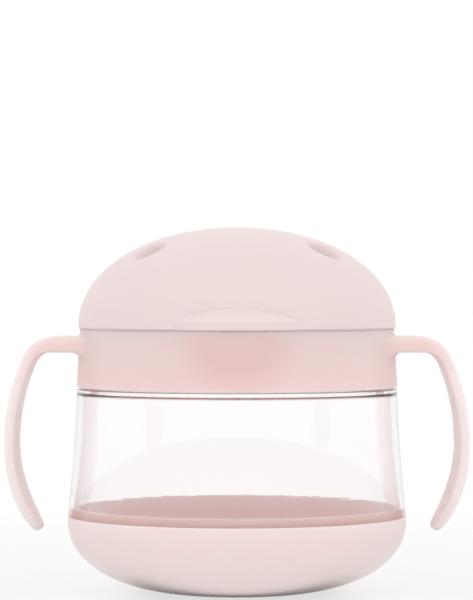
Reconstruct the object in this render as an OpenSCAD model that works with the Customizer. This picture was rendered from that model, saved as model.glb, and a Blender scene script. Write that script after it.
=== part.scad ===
// Toddler snack container: a clear flared cup on a bowl shaped base, closed by a
// screw-on collar with two open ended handles, a soft slit guard and a domed lid
// that is hinged at the back. Millimetres, +Z up, origin under the foot's centre,
// the front (the lid's thumb tab) towards -Y.

/* [Base] */
// Radius of the bowl shaped base at its widest
base_r = 46.4; // [40:0.1:54]
// Height of the base's shoulder, where the clear wall starts
base_h = 21; // [16:0.5:28]
// Wall of the base
base_wall = 2.0; // [1.2:0.1:3]
// Radius where the flat foot starts to curve up
foot_r = 10; // [6:0.5:20]
// Exponent of the bowl's curve, 2 being a quarter ellipse
bowl_power = 2.2; // [2:0.05:2.6]
// Height of the lip that stands inside the clear wall
lap_h = 2.3; // [1.5:0.1:4]

/* [Clear cup] */
// Height of the clear wall from the base's shoulder to the cup's shoulder
wall_h = 34.5; // [28:0.5:46]
// Wall of the clear cup
cup_wall = 1.5; // [1:0.1:2.5]
// How far the clear wall stands back from the base's widest radius
cup_step = 0.4; // [0.1:0.1:1.5]
// How much narrower the clear wall is at its top than at its foot
cup_taper = 2.4; // [0:0.1:5]
// Exponent of the wall's flare
flare_power = 1.5; // [1:0.1:2.5]
// Depth of the sloping shoulder inside the cup
shoulder_drop = 1.8; // [1.6:0.1:6]

/* [Screw thread] */
// Rise of the collar in one whole turn
thread_lead = 12; // [10:0.5:16]
// Angle that each of the two ridges covers
thread_sweep = 150; // [90:5:170]
// How far a ridge stands out
thread_depth = 1.25; // [0.8:0.05:1.6]
// Height of a ridge at its root
thread_root_w = 2.4; // [1.6:0.1:2.8]
// Height of a ridge at its tip
thread_tip_w = 1.2; // [0.6:0.1:1.6]
// Play between a ridge and what it faces
thread_play = 0.35; // [0.2:0.05:0.5]
// Space beyond each end of a ridge
thread_end = 0.3; // [0.2:0.1:1]
// How deep a ridge is rooted in its wall
thread_in = 0.2; // [0.1:0.05:0.4]

/* [Collar] */
// Wall of the collar at its foot
collar_wall = 2.6; // [2:0.1:3.5]
// How much narrower the collar is at its top than at its foot
collar_taper = 0.9; // [0:0.1:2]
// Thickness of the collar's top plate
plate_t = 2.2; // [1.5:0.1:3]
// How far the collar's mouth stands inside the neck
mouth_in = 3.1; // [2:0.1:5]
// Thickness of the lip round the mouth
mouth_lip_t = 3.6; // [3.3:0.1:4.5]
// Depth of the mouth above the guard
well_h = 4.05; // [3.8:0.05:6]
// Bevel of the collar's edges
collar_edge = 0.4; // [0.2:0.1:0.8]

/* [Handles] */
// Gap for the fingers between the base's widest radius and the handle
grip_gap = 13.4; // [12:0.1:24]
// Depth of the handle strap, front to back
handle_depth = 22; // [16:0.5:28]
// Thickness of the handle strap
handle_t = 2.9; // [2:0.1:4]
// Thickness of the arm that joins a handle to the collar
arm_t = 4.2; // [3:0.1:6]
// Depth of the arm's top below the collar's top
arm_drop = 2.1; // [1:0.1:4]
// Height of the handle's widest point above the base's shoulder
handle_mid_h = 19.5; // [13:0.5:22]
// Drop from the widest point to the handle's free end
handle_fall = 24.0; // [16:0.1:27]
// Radius of the strap above its widest point
bow_r = 57; // [50:0.5:70]
// Radius of the strap below its widest point
curl_r = 40; // [34:0.5:50]
// Radius of the handle's upper corner
corner_r = 9; // [7:0.5:12]
// Radius of the corner's inner side
corner_in_r = 5.5; // [3.5:0.5:6.5]
// Radius of the web where the arm spreads on to the collar
web_r = 12; // [8:0.5:15]

/* [Spill guard] */
// Thickness of the soft membrane
guard_t = 0.8; // [0.6:0.1:1.2]
// Thickness of the guard's rim on the neck
guard_rim_t = 1.4; // [1:0.1:2]
// Depth of the guard's skirt inside the neck
guard_skirt_h = 3; // [2:0.5:5]
// Wall of the guard's skirt
guard_skirt_t = 1.4; // [1:0.1:2]
// Width of the guard's ring between the mouth and the petals' roots
guard_ring_w = 8.8; // [7:0.1:14]
// How far the guard's rim stands out over the neck
guard_rim_out = 0.8; // [0.2:0.1:1.2]
// Number of petals in the membrane
petal_count = 6; // [5:1:8]
// Width of the slits between petals
slit_w = 0.6; // [0.3:0.1:1]

/* [Lid] */
// Height of the domed lid
dome_h = 27.1; // [22:0.1:34]
// How far the dome overhangs the collar's top edge
dome_over = 0.5; // [0:0.1:1]
// Wall of the dome
dome_wall = 2.0; // [1.4:0.1:3]
// Exponent of the dome's curve
dome_power = 2.08; // [2:0.02:2.4]
// Radius of the dome's lower edge
dome_edge_r = 0.8; // [0.4:0.1:1.2]
// Gap between the closed lid and the collar
lid_gap = 0.4; // [0.3:0.05:0.8]
// Thickness of the web between the dome's edge and the plug
web_t = 1.6; // [1.2:0.1:2.4]
// Depth of the lid's plug below the dome's edge
plug_h = 3.1; // [2.6:0.1:3.6]
// Gap between the plug and the collar's mouth
plug_gap = 1.6; // [1:0.1:2]
// Wall of the plug
plug_wall = 1.6; // [1.2:0.1:2]
// Width across one eye shaped dimple
dimple_w = 10.4; // [6:0.1:12]
// Depth of a dimple
dimple_depth = 2.1; // [0.6:0.1:2.6]
// Angle of each dimple from the front
dimple_turn = 58.4; // [35:0.1:70]
// Distance of each dimple's middle from the dome's edge, seen from above
dimple_in = 14.4; // [10:0.1:20]

/* [Lid seal] */
// Height of the rubber ring's section
seal_h = 1.3; // [1:0.1:1.5]
// Depth of the ring's groove in the plug
groove_d = 0.7; // [0.4:0.1:0.9]
// Height of the plug's edge below the ring
groove_low = 0.6; // [0.5:0.1:1]
// Gap between the ring and the collar's mouth
seal_gap = 0.3; // [0.2:0.05:0.5]

/* [Thumb tab] */
// How far the tab stands out of the dome's lower edge
tab_out = 4.0; // [2:0.1:6]
// Half of the tab's width
tab_half_w = 16.2; // [12:0.1:20]
// Height of the tab's crease above the lid's lower edge
tab_h = 5.5; // [4:0.1:8]
// Thickness of the tab's front edge
tab_edge = 2.6; // [1:0.1:3.5]
// Bevel under the tab's front edge
tab_bevel = 0.3; // [0.2:0.1:0.6]
// Height of the matching swelling on the collar
chin_h = 12.3; // [8:0.1:14]

/* [Hinge] */
// Radius of the hinge pin
pin_r = 1.2; // [0.9:0.05:1.5]
// Radius of the hinge knuckles
knuckle_r = 3.2; // [2.8:0.1:4]
// Half of the lid knuckle's width
knuckle_half_w = 6; // [4:0.1:8]
// Width of each collar ear
ear_w = 5.6; // [4:0.1:8]
// Depth of the ears' root on the collar below the hinge line
ear_drop = 7; // [5:0.1:10]
// Gap between the lid's knuckle and the ears
knuckle_gap = 0.3; // [0.2:0.05:0.5]
// Gap between a knuckle and the wall that it faces
hinge_play = 0.5; // [0.4:0.05:1]
// Radial clearance of the pin in the lid's knuckle
pin_fit = 0.05; // [0.02:0.01:0.1]

/* [Fits] */
// Gap between parts that rest on or slide over each other
seat_gap = 0.1; // [0.05:0.05:0.2]
// Gap between soft parts and what they face
soft_gap = 0.3; // [0.2:0.05:0.4]
// Gap between a piece and the piece that it is bonded to
bond_gap = 0.05; // [0.02:0.01:0.1]

/* [Hidden] */

$fn = 96;
curve_steps = 24;
cut = 1;

pink = [0.95, 0.86, 0.86];
soft_pink = [0.93, 0.80, 0.80];
clear = [0.93, 0.96, 0.97, 0.35];
grey = [0.72, 0.72, 0.74];

// Clear wall, thread and neck: the neck is as tall as the thread needs
cup_foot_r = base_r - cup_step;
cup_top_r = cup_foot_r - cup_taper;
shoulder_z = base_h + wall_h;
collar_z = shoulder_z + soft_gap;
bore_r = cup_top_r - collar_wall;
neck_r = bore_r - thread_depth - thread_play;
neck_in_r = neck_r - cup_wall;
thread_rise = thread_lead * thread_sweep / 360;
thread_drop = (thread_root_w + thread_tip_w) / 2 + thread_play + thread_in;
collar_thread_z = collar_z + thread_end + thread_root_w / 2;
neck_thread_z = collar_thread_z + thread_drop;
neck_z = neck_thread_z + thread_rise + thread_root_w / 2 + thread_end;

// Guard and collar
guard_top_z = neck_z + seat_gap + guard_rim_t;
membrane_z = guard_top_z - guard_t;
lip_z = guard_top_z + seat_gap;
collar_top_z = guard_top_z + well_h;
collar_top_r = cup_top_r - collar_taper;
mouth_r = neck_in_r - mouth_in;
lip_out_r = mouth_r + mouth_lip_t;
petal_root = mouth_r - guard_ring_w;
petal_sector = 360 / petal_count;

// Lid
lid_z = collar_top_z + lid_gap;
dome_r = collar_top_r + dome_over;
plug_out_r = mouth_r - plug_gap;
plug_in_r = plug_out_r - plug_wall;
seal_z = lid_z - plug_h + groove_low;
dimple_out = dome_r - dimple_in;

// Thumb tab: a round tab whose axis stands this far in front of the middle
tab_front = dome_r + tab_out;
tab_sag = tab_front - sqrt(dome_r * dome_r - tab_half_w * tab_half_w);
tab_r = (tab_half_w * tab_half_w + tab_sag * tab_sag) / (2 * tab_sag);
tab_y = tab_front - tab_r;

// Hinge
hinge_z = collar_top_z + lid_gap / 2;
hinge_y = dome_r + hinge_play + knuckle_r;
ear_in = knuckle_half_w + knuckle_gap;
ear_out = ear_in + ear_w;

// Handles
arm_top_z = collar_top_z - arm_drop;
arm_low_z = arm_top_z - arm_t;
handle_reach = base_r + grip_gap + handle_t;
handle_mid_z = base_h + handle_mid_h;
handle_tip_z = handle_mid_z - handle_fall;
bow_x = handle_reach - bow_r;
curl_x = handle_reach - curl_r;

// Points of a circle's arc from one angle to another
function arc(cx, cy, r, a0, a1, steps = 12) =
    [for (i = [0 : steps]) [cx + r * cos(a0 + (a1 - a0) * i / steps),
                            cy + r * sin(a0 + (a1 - a0) * i / steps)]];

// A power curve's quarter from [r0, z_low] at the bottom to [r1, z_high] at the side
function bowl_curve(r0, r1, z_low, z_high, p) =
    [for (i = [0 : curve_steps]) let (a = 90 * i / curve_steps)
        [r0 + (r1 - r0) * pow(sin(a), 2 / p), z_high - (z_high - z_low) * pow(cos(a), 2 / p)]];

// The dome's quarter from the side at z0 up to the axis
function dome_curve(a, b, z0, p) =
    [for (i = [0 : curve_steps]) let (t = 90 * i / curve_steps)
        [a * pow(cos(t), 2 / p), z0 + b * pow(sin(t), 2 / p)]];

// Outer radius of the clear wall at a height
function wall_r(z) = cup_top_r + cup_taper * pow(1 - (z - base_h) / wall_h, flare_power);

// Radius of the dome's outside at a height above the lid's lower edge
function dome_at(h) = dome_r * pow(1 - pow(h / dome_h, dome_power), 1 / dome_power);

// Height of the dome's outside above the lid's lower edge at a radius
function dome_rise(r) = dome_h * pow(1 - pow(r / dome_r, dome_power), 1 / dome_power);

// Lean of the dome's face away from level at a radius
function dome_lean(r) = atan2(pow(r / dome_r, dome_power - 1) / dome_r,
    pow(dome_rise(r) / dome_h, dome_power - 1) / dome_h);

// One screw ridge: a swept trapezium, standing out of radius r_root to r_tip
module ridge(r_root, r_tip, z_start, turn) {
    steps = ceil(thread_sweep / 7.5);
    rings = [for (i = [0 : steps])
        let (a = turn + thread_sweep * i / steps, z = z_start + thread_lead * thread_sweep / 360 * i / steps)
        for (p = [[r_root, -thread_root_w / 2], [r_tip, -thread_tip_w / 2],
                  [r_tip, thread_tip_w / 2], [r_root, thread_root_w / 2]])
            [p[0] * cos(a), p[0] * sin(a), z + p[1]]];
    sides = [for (i = [0 : steps - 1]) for (k = [0 : 3])
        let (a = 4 * i + k, b = 4 * i + (k + 1) % 4)
        r_tip > r_root ? [a, b, b + 4, a + 4] : [a, a + 4, b + 4, b]];
    first = r_tip > r_root ? [3, 2, 1, 0] : [0, 1, 2, 3];
    last = [for (k = first) 4 * steps + first[3 - k]];
    polyhedron(points = rings, faces = concat(sides, [first], [last]), convexity = 6);
}

// The pair of ridges of the two-start thread
module ridge_pair(r_root, r_tip, z_start) {
    for (turn = [0, 180])
        ridge(r_root, r_tip, z_start, turn);
}

// Bowl shaped base with the lip that stands inside the clear wall
module base() {
    lip_r = cup_foot_r - cup_wall - bond_gap;
    lip_in_r = lip_r - base_wall + cup_step;
    curve_top = base_h - 1;
    inner = bowl_curve(foot_r, lip_in_r, base_wall, curve_top, bowl_power);
    color(pink)
    rotate_extrude()
        polygon(concat([[0, 0]], bowl_curve(foot_r, base_r, 0, curve_top, bowl_power),
            [[base_r, base_h], [lip_r, base_h], [lip_r, base_h + lap_h], [lip_in_r, base_h + lap_h]],
            [for (i = [curve_steps : -1 : 0]) inner[i]], [[0, base_wall]]));
}

// Clear wall, shoulder and threaded neck
module cup() {
    lap_z = base_h + lap_h + soft_gap;
    inner_z = lap_z + cup_wall / 4;
    steps = 16;
    outer = [for (i = [0 : steps]) let (z = base_h + wall_h * i / steps) [wall_r(z), z]];
    inner = [for (i = [0 : steps])
        let (z = inner_z + (shoulder_z - shoulder_drop - inner_z) * i / steps) [wall_r(z) - cup_wall, z]];
    color(clear)
    union() {
        rotate_extrude()
            polygon(concat([[cup_foot_r - cup_wall, base_h]], outer, [[neck_r, shoulder_z], [neck_r, neck_z]],
                [[neck_in_r, neck_z], [neck_in_r, shoulder_z - cup_wall / 2]],
                [for (i = [steps : -1 : 0]) inner[i]], [[cup_foot_r - cup_wall, lap_z]]));
        ridge_pair(neck_r - thread_in, neck_r + thread_depth, neck_thread_z);
    }
}

// Soft ring that sits on the neck, open where the petals are
module guard() {
    skirt_r = neck_in_r - soft_gap;
    skirt_in_r = skirt_r - guard_skirt_t;
    rim_r = neck_r + guard_rim_out;
    corner = petal_root / cos(petal_sector / 2);
    color(soft_pink)
    difference() {
        rotate_extrude()
            polygon([[0, membrane_z], [skirt_in_r, membrane_z], [skirt_in_r, neck_z - guard_skirt_h],
                [skirt_r, neck_z - guard_skirt_h], [skirt_r, neck_z + seat_gap],
                [rim_r, neck_z + seat_gap], [rim_r, guard_top_z], [0, guard_top_z]]);
        translate([0, 0, membrane_z - cut])
            rotate([0, 0, petal_sector / 2])
                linear_extrude(guard_t + 2 * cut)
                    circle(corner, $fn = petal_count);
    }
}

// One petal: a soft triangle whose root lies along the guard's opening
module petal(i) {
    out = petal_root - soft_gap;
    tip = slit_w / 2 / sin(petal_sector / 2);
    root_half = (out - tip) * tan(petal_sector / 2);
    color(soft_pink)
    rotate([0, 0, petal_sector * (i - 1)])
        translate([0, 0, membrane_z])
            linear_extrude(guard_t)
                polygon([[tip, 0], [out, root_half], [out, -root_half]]);
}

// Side outline of a handle, from the collar out along the arm and down the strap
function handle_side() =
    let (low_a = asin((handle_fall - handle_t / 2) / curl_r),
        rise = arm_top_z - corner_r - handle_mid_z,
        corner_x = bow_x + sqrt(pow(bow_r - corner_r, 2) - rise * rise),
        corner_a = asin(rise / (bow_r - corner_r)),
        in_bow_r = bow_r - handle_t,
        in_rise = arm_low_z - corner_in_r - handle_mid_z,
        in_corner_x = bow_x + sqrt(pow(in_bow_r - corner_in_r, 2) - in_rise * in_rise),
        in_corner_a = asin(in_rise / (in_bow_r - corner_in_r)),
        mid_curl_r = curl_r - handle_t / 2,
        root_x = bore_r - 5)
    concat([[root_x, arm_top_z]],
        arc(corner_x, arm_top_z - corner_r, corner_r, 90, corner_a),
        arc(bow_x, handle_mid_z, bow_r, corner_a, 0),
        arc(curl_x, handle_mid_z, curl_r, 0, -low_a),
        arc(curl_x + mid_curl_r * cos(low_a), handle_mid_z - mid_curl_r * sin(low_a), handle_t / 2,
            -low_a - 20, -low_a - 160, 8),
        arc(curl_x, handle_mid_z, curl_r - handle_t, -low_a, 0),
        arc(bow_x, handle_mid_z, in_bow_r, 0, in_corner_a),
        arc(in_corner_x, arm_low_z - corner_in_r, corner_in_r, in_corner_a, 90),
        [[root_x, arm_low_z]]);

// A handle: the side outline cut to its plan and to its front outline
module handle() {
    half = handle_depth / 2;
    web_y = half + web_r;
    web_x = sqrt(pow(collar_top_r + web_r, 2) - web_y * web_y);
    web_turn = atan2(web_y, web_x);
    web_foot = web_y * collar_top_r / (collar_top_r + web_r);
    far = handle_reach + 5;
    wide = half + web_r + 5;
    strap_top = arm_low_z - corner_r;
    plan = concat([[0, -web_foot]], arc(web_x, -web_y, web_r, 180 - web_turn, 90),
        [[far, -half], [far, half]],
        arc(web_x, web_y, web_r, -90, web_turn - 180), [[0, web_foot]]);
    front = concat([[-wide, arm_top_z + 1], [-wide, strap_top], [-half, strap_top]],
        arc(0, handle_tip_z + half, half, 180, 360, 24),
        [[half, strap_top], [wide, strap_top], [wide, arm_top_z + 1]]);
    intersection() {
        rotate([90, 0, 0])
            linear_extrude(2 * wide, center = true)
                polygon(handle_side());
        linear_extrude(arm_top_z + 5)
            polygon(plan);
        rotate([90, 0, 90])
            linear_extrude(far)
                polygon(front);
    }
}

// The swelling on the collar below the thumb tab, round the tab's own axis
module chin() {
    face = tab_r - lid_gap;
    back = collar_top_r - tab_y - collar_edge;
    color(pink)
    translate([0, -tab_y, 0])
        rotate_extrude()
            polygon(concat([[0, collar_top_z - chin_h]],
                [for (i = [0 : 12]) let (t = i / 12)
                    [back + (face - back) * (0.4 * sin(90 * t) + 0.3 * (1 - cos(180 * t))),
                     collar_top_z - chin_h * (1 - t)]],
                [[0, collar_top_z]]));
}

// Two ears at the back of the collar that hold the hinge pin
module ears() {
    root_y = bore_r - 3;
    for (side = [-1, 1])
        translate([side * (ear_in + ear_w / 2), 0, 0])
            rotate([90, 0, 90])
                linear_extrude(ear_w, center = true)
                    union() {
                        translate([hinge_y, hinge_z])
                            circle(knuckle_r);
                        polygon([[root_y, hinge_z - ear_drop], [collar_top_r - collar_edge, hinge_z - ear_drop],
                            [hinge_y + knuckle_r * cos(44), hinge_z - knuckle_r * sin(44)], [hinge_y, hinge_z],
                            [hinge_y - knuckle_r, hinge_z], [hinge_y - knuckle_r, collar_top_z - lid_gap / 2],
                            [root_y, collar_top_z - lid_gap / 2]]);
                    }
}

// Outside of the collar with everything that stands out of it
module collar_outside() {
    rotate_extrude()
        polygon([[0, collar_z], [cup_top_r - collar_edge, collar_z], [cup_top_r, collar_z + collar_edge],
            [collar_top_r, collar_top_z - collar_edge], [collar_top_r - collar_edge, collar_top_z],
            [0, collar_top_z]]);
    chin();
    handle();
    mirror([1, 0, 0])
        handle();
    ears();
}

// Collar with its handles, chin, hinge ears and inner screw ridges
module collar() {
    color(pink)
    difference() {
        union() {
            difference() {
                collar_outside();
                rotate_extrude()
                    polygon([[0, collar_z - cut], [bore_r, collar_z - cut],
                        [bore_r, collar_top_z - plate_t], [lip_out_r, collar_top_z - plate_t],
                        [lip_out_r, lip_z], [mouth_r, lip_z], [mouth_r, collar_top_z + cut],
                        [0, collar_top_z + cut]]);
            }
            ridge_pair(bore_r + thread_in, bore_r - thread_depth, collar_thread_z);
        }
        translate([0, hinge_y, hinge_z])
            rotate([0, 90, 0])
                cylinder(h = 2 * ear_out + 2 * cut, r = pin_r, center = true);
    }
}

// Steel pin through the ears and the lid's knuckle
module hinge_pin() {
    color(grey)
    translate([0, hinge_y, hinge_z])
        rotate([0, 90, 0])
            cylinder(h = 2 * ear_out, r = pin_r, center = true);
}

// Solid form of the thumb tab, round its own axis: its top slopes down to a blunt edge
module tab() {
    crease = dome_at(tab_h) - tab_y;
    run = tab_r - crease + 1.5;
    slope = (tab_h - tab_edge) / (tab_r - crease);
    crown = 0.35;
    color(pink)
    translate([0, -tab_y, 0])
        rotate_extrude()
            polygon(concat([[0, lid_z], [tab_r - tab_bevel, lid_z], [tab_r, lid_z + tab_bevel]],
                [for (i = [0 : 8]) let (t = i / 8)
                    [tab_r - run * t, lid_z + tab_edge + run * t * slope + crown * sin(180 * t)]],
                [[0, lid_z + tab_edge + run * slope]]));
}

// The lid's half of the hinge: a knuckle on a short web from the dome's back
module lid_knuckle() {
    web_top = lid_z + 6;
    color(pink)
    rotate([90, 0, 90])
        linear_extrude(2 * knuckle_half_w, center = true)
            union() {
                translate([hinge_y, hinge_z])
                    circle(knuckle_r);
                polygon([[dome_r - 4, lid_z], [hinge_y, lid_z],
                    [hinge_y + knuckle_r * cos(50), hinge_z + knuckle_r * sin(50)],
                    [hinge_y - knuckle_r * sin(18), hinge_z + knuckle_r * cos(18)],
                    [dome_at(6) - 0.3, web_top], [dome_r - 4, web_top - 1]]);
            }
}

// Outside of the lid: dome, thumb tab and hinge knuckle
module lid_outside() {
    rotate_extrude()
        polygon(concat([[0, lid_z], [dome_r - dome_edge_r, lid_z]],
            arc(dome_r - dome_edge_r, lid_z + dome_edge_r, dome_edge_r, -90, 0, 6),
            [for (p = dome_curve(dome_r, dome_h, lid_z, dome_power))
                if (p[1] > lid_z + 1.6 * dome_edge_r) p]));
    tab();
    lid_knuckle();
}

// Hollow of the dome above the web, and the opening inside the plug
module lid_inside() {
    rotate_extrude()
        polygon(concat([[0, lid_z + web_t]],
            [for (p = dome_curve(dome_r - dome_wall, dome_h - dome_wall, lid_z, dome_power))
                if (p[1] > lid_z + web_t) p]));
    translate([0, 0, lid_z - cut])
        cylinder(h = web_t + 2 * cut, r = plug_in_r);
}

// Tube below the web that plugs the collar's mouth, with the groove for the seal
module plug() {
    color(pink)
    translate([0, 0, lid_z - plug_h])
        difference() {
            cylinder(h = plug_h + web_t / 2, r = plug_out_r);
            translate([0, 0, -cut])
                cylinder(h = plug_h + web_t + 2 * cut, r = plug_in_r);
            translate([0, 0, groove_low])
                difference() {
                    cylinder(h = seal_h + 2 * bond_gap, r = plug_out_r + cut);
                    translate([0, 0, -cut])
                        cylinder(h = seal_h + 3 * cut, r = plug_out_r - groove_d);
                }
        }
}

// Ball that sinks a dimple into the dome's front corner, grown by a wall for the inside
module dimple(turn, wall = 0) {
    ball_r = (dimple_w * dimple_w / 4 + dimple_depth * dimple_depth) / (2 * dimple_depth);
    rotate([0, 0, turn])
        translate([0, -dimple_out, lid_z + dome_rise(dimple_out)])
            rotate([dome_lean(dimple_out), 0, 0])
                translate([0, 0, ball_r - dimple_depth])
                    sphere(ball_r + wall);
}

// Domed lid with its plug, thumb tab, dimples and hinge knuckle
module lid() {
    color(pink)
    difference() {
        union() {
            difference() {
                lid_outside();
                difference() {
                    lid_inside();
                    dimple(-dimple_turn, dome_wall);
                    dimple(dimple_turn, dome_wall);
                }
            }
            plug();
        }
        dimple(-dimple_turn);
        dimple(dimple_turn);
        translate([0, hinge_y, hinge_z])
            rotate([0, 90, 0])
                cylinder(h = 2 * ear_out, r = pin_r + pin_fit, center = true);
    }
}

// Rubber ring in the plug's groove
module lid_seal() {
    ring_in = plug_out_r - groove_d + bond_gap;
    ring_out = mouth_r - seal_gap;
    bulge = (ring_out - ring_in) / 3;
    color(soft_pink)
    rotate_extrude()
        translate([0, seal_z + bond_gap])
            polygon([[ring_in, 0], [ring_out - bulge, 0], [ring_out, seal_h * 0.3], [ring_out, seal_h * 0.7],
                [ring_out - bulge, seal_h], [ring_in, seal_h]]);
}

base();
cup();
guard();
collar();
hinge_pin();
lid();
lid_seal();
for (i = [1 : petal_count]) petal(i);
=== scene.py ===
import math

import bmesh
import bpy
from mathutils import Matrix, Vector


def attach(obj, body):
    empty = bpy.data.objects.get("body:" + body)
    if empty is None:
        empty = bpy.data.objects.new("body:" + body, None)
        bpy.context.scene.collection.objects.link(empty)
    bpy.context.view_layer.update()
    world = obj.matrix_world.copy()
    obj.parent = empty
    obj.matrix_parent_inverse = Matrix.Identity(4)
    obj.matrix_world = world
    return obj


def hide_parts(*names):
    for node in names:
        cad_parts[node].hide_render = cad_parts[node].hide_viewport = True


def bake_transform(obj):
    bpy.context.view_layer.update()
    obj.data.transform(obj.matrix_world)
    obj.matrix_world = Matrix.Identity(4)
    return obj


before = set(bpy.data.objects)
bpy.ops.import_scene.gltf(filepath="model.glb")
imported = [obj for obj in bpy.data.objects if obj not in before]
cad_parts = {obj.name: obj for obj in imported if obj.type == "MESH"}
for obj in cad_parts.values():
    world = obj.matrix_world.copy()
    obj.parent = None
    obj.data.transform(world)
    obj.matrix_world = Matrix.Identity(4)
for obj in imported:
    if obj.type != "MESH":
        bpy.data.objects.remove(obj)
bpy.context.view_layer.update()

# ------------------------------------------------------------------ Base
# The base is an injection moulded polypropylene bowl, satin pink all the way through.
# A lip inside its rim stands in the foot of the clear wall, where the two are welded.
MM = 0.001
BASE_R = 46.05
BASE_SIDE_Z = 20.0
BASE_RIM_Z = 21.0
BASE_FOOT_R = 10.0
BASE_WALL = 2.0
BASE_POWER = 2.2
LIP_R = 44.53
LIP_IN_R = 42.85
LIP_Z = 23.3
GATE_R = 2.4
GATE_DEPTH = 0.35
GATE_NIB_DEPTH = 0.14
GATE_NIB_R = 0.72
GATE_NIB_FOOT_R = 1.08
RIM_ROUND = 0.35
BASE_ROUGHNESS = 0.4
BASE_GLOW = 0.9
BASE_VELVET = 0.8
BASE_PINK = "#F8E6E4"
# Painted shade: the lip's outer face, seen through the clear wall welded round it, is painted a deeper pink
LIP_PAINTED_SHADE = "#DABFBC"


def bowl_quarter(r_foot, r_side, z_low, z_high, power, steps):
    """Points (r, z) of a bowl's wall, from the foot out and up to the side."""
    quarter = [math.pi / 2 * i / steps for i in range(steps + 1)]
    return [(r_foot + (r_side - r_foot) * math.sin(a) ** (2 / power),
             z_high - (z_high - z_low) * math.cos(a) ** (2 / power)) for a in quarter]


def rounded(corners, steps=5):
    """Outline through corners (r, z) or (r, z, radius), with an arc at each corner that has a radius."""
    points = []
    for i, corner in enumerate(corners):
        here = Vector(corner[:2])
        if len(corner) < 3:
            points.append(tuple(here))
            continue
        before = Vector(corners[i - 1][:2]) - here
        after = Vector(corners[(i + 1) % len(corners)][:2]) - here
        half = before.angle(after) / 2
        reach = min(corner[2] / math.tan(half), 0.48 * before.length, 0.48 * after.length)
        radius = reach * math.tan(half)
        centre = here + (before.normalized() + after.normalized()).normalized() * radius / math.sin(half)
        start = here + before.normalized() * reach - centre
        turn = start.angle_signed(here + after.normalized() * reach - centre)
        for k in range(steps + 1):
            points.append(tuple(centre + Matrix.Rotation(-turn * k / steps, 2) @ start))
    return points


def turned(outline, steps=240):
    """Closed shell of an outline (r, z) in mm, spun about the upright axis."""
    shell = bmesh.new()
    points = [shell.verts.new((r * MM, 0, z * MM)) for r, z in outline]
    edges = [shell.edges.new(pair) for pair in zip(points, points[1:])]
    if outline[0][0] > 0:
        edges.append(shell.edges.new((points[-1], points[0])))
    bmesh.ops.spin(shell, geom=points + edges, cent=(0, 0, 0), axis=(0, 0, 1), dvec=(0, 0, 0),
                   angle=2 * math.pi, steps=steps, use_merge=True)
    bmesh.ops.remove_doubles(shell, verts=shell.verts, dist=0.0005 * MM)
    bmesh.ops.recalc_face_normals(shell, faces=shell.faces)
    return shell


def linear(code):
    """Linear colour of an sRGB hex code."""
    parts = [int(code[i:i + 2], 16) / 255 for i in (1, 3, 5)]
    return [c / 12.92 if c <= 0.04045 else ((c + 0.055) / 1.055) ** 2.4 for c in parts] + [1.0]


def add(material, kind, values=(), links=(), **settings):
    """A new node of the material: values are (input, value), links are (input, node, output)."""
    tree = material.node_tree
    node = tree.nodes.new("ShaderNode" + kind)
    for name, value in settings.items():
        setattr(node, name, value)
    for name, value in values:
        node.inputs[name].default_value = value
    for name, source, output in links:
        tree.links.new(source.outputs[output], node.inputs[name])
    return node


def new_material(name):
    """An empty node material."""
    material = bpy.data.materials.new(name)
    material.use_nodes = True
    material.node_tree.nodes.clear()
    return material


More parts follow.
